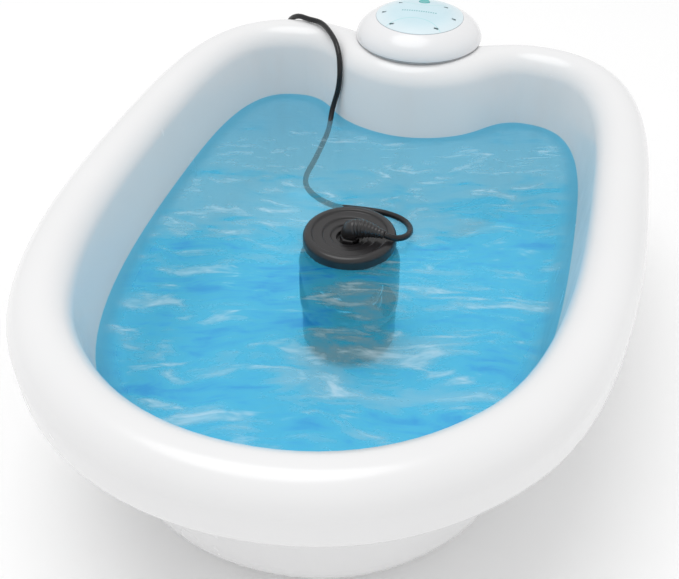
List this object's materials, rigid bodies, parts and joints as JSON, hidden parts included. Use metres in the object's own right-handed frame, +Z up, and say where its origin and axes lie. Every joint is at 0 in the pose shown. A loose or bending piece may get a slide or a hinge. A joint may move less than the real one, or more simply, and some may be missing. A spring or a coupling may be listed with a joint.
{
  "type": "foot spa basin",
  "caption": "Foot spa tub with a thick rolled rim, a domed control unit on its back rim and a corded electrode array standing in it.",
  "frame": {"origin": "on the floor, at the middle of the tub and its dome", "axes": "+Z up, +Y towards the dome at the back, +X to the user's right when the user faces the dome"},
  "size_m": [0.39, 0.5557, 0.1907],
  "materials": {
    "tub_shell": "glossy white moulded plastic",
    "dome_shell": "satin gloss white plastic",
    "grey_plastic": "fine grain",
    "black_plastic": "satin",
    "foot_rubber": "matt",
    "seal": "soft matt",
    "cord": "satin black",
    "panel_film": "pale blue printed film",
    "teal_plastic": "gloss",
    "indicator_lens": "translucent",
    "circuit_board": "solder resist",
    "steel": "bright stainless",
    "aluminium": "extruded"
  },
  "bodies": {
    "basin": {"liner": "tub_shell", "outer_shell": "tub_shell", "base_plate": "tub_shell", "dome_cap": "dome_shell", "dome_tray": "dome_shell", "rear_column": "dome_shell", "connector_panel": "grey_plastic", "mains_inlet": "black_plastic", "switch_frame": "black_plastic", "array_plug": "black_plastic", "plug_relief": "black_plastic", "buzzer": "black_plastic", "button_switch": "black_plastic", "transformer": "black_plastic", "front_left_foot": "foot_rubber", "front_right_foot": "foot_rubber", "rear_left_foot": "foot_rubber", "rear_right_foot": "foot_rubber", "dome_seal": "seal", "lead_cord": "cord", "panel_overlay": "panel_film", "light_1": "indicator_lens", "light_2": "indicator_lens", "light_3": "indicator_lens", "light_4": "indicator_lens", "light_5": "indicator_lens", "light_6": "indicator_lens", "control_board": "circuit_board", "supply_board": "circuit_board", "base_screw_1": "steel", "base_screw_2": "steel", "base_screw_3": "steel", "base_screw_4": "steel", "dome_screw_left": "steel", "dome_screw_right": "steel", "dome_screw_rear": "steel", "panel_screw_1": "steel", "panel_screw_2": "steel", "array_socket": "steel", "heat_sink": "aluminium"},
    "button": {"power_button": "teal_plastic"},
    "rocker_paddle": {"rocker": "black_plastic"},
    "array": {"array_foot": "black_plastic", "array_cage": "black_plastic", "array_cap": "black_plastic", "terminal_disc": "black_plastic", "electrode_rod": "steel", "electrode_coil": "steel", "cord_gland": "black_plastic", "strain_relief": "black_plastic", "array_cord": "cord"}
  },
  "joints": [
    {"name": "button_press", "type": "slide", "parent": "basin", "child": "button", "axis": [0, 0, 1], "range_m": [-0.001, 0], "stiffness_N_per_m": 600},
    {"name": "rocker_tilt", "type": "hinge", "parent": "basin", "child": "rocker_paddle", "pos_m": [0, 0.2611, 0.088], "axis": [1, 0, 0], "range_deg": [-14, 0]},
    {"name": "array_lift", "type": "slide", "parent": "basin", "child": "array", "axis": [0, 0, 1], "range_m": [0, 0.2]}
  ]
}
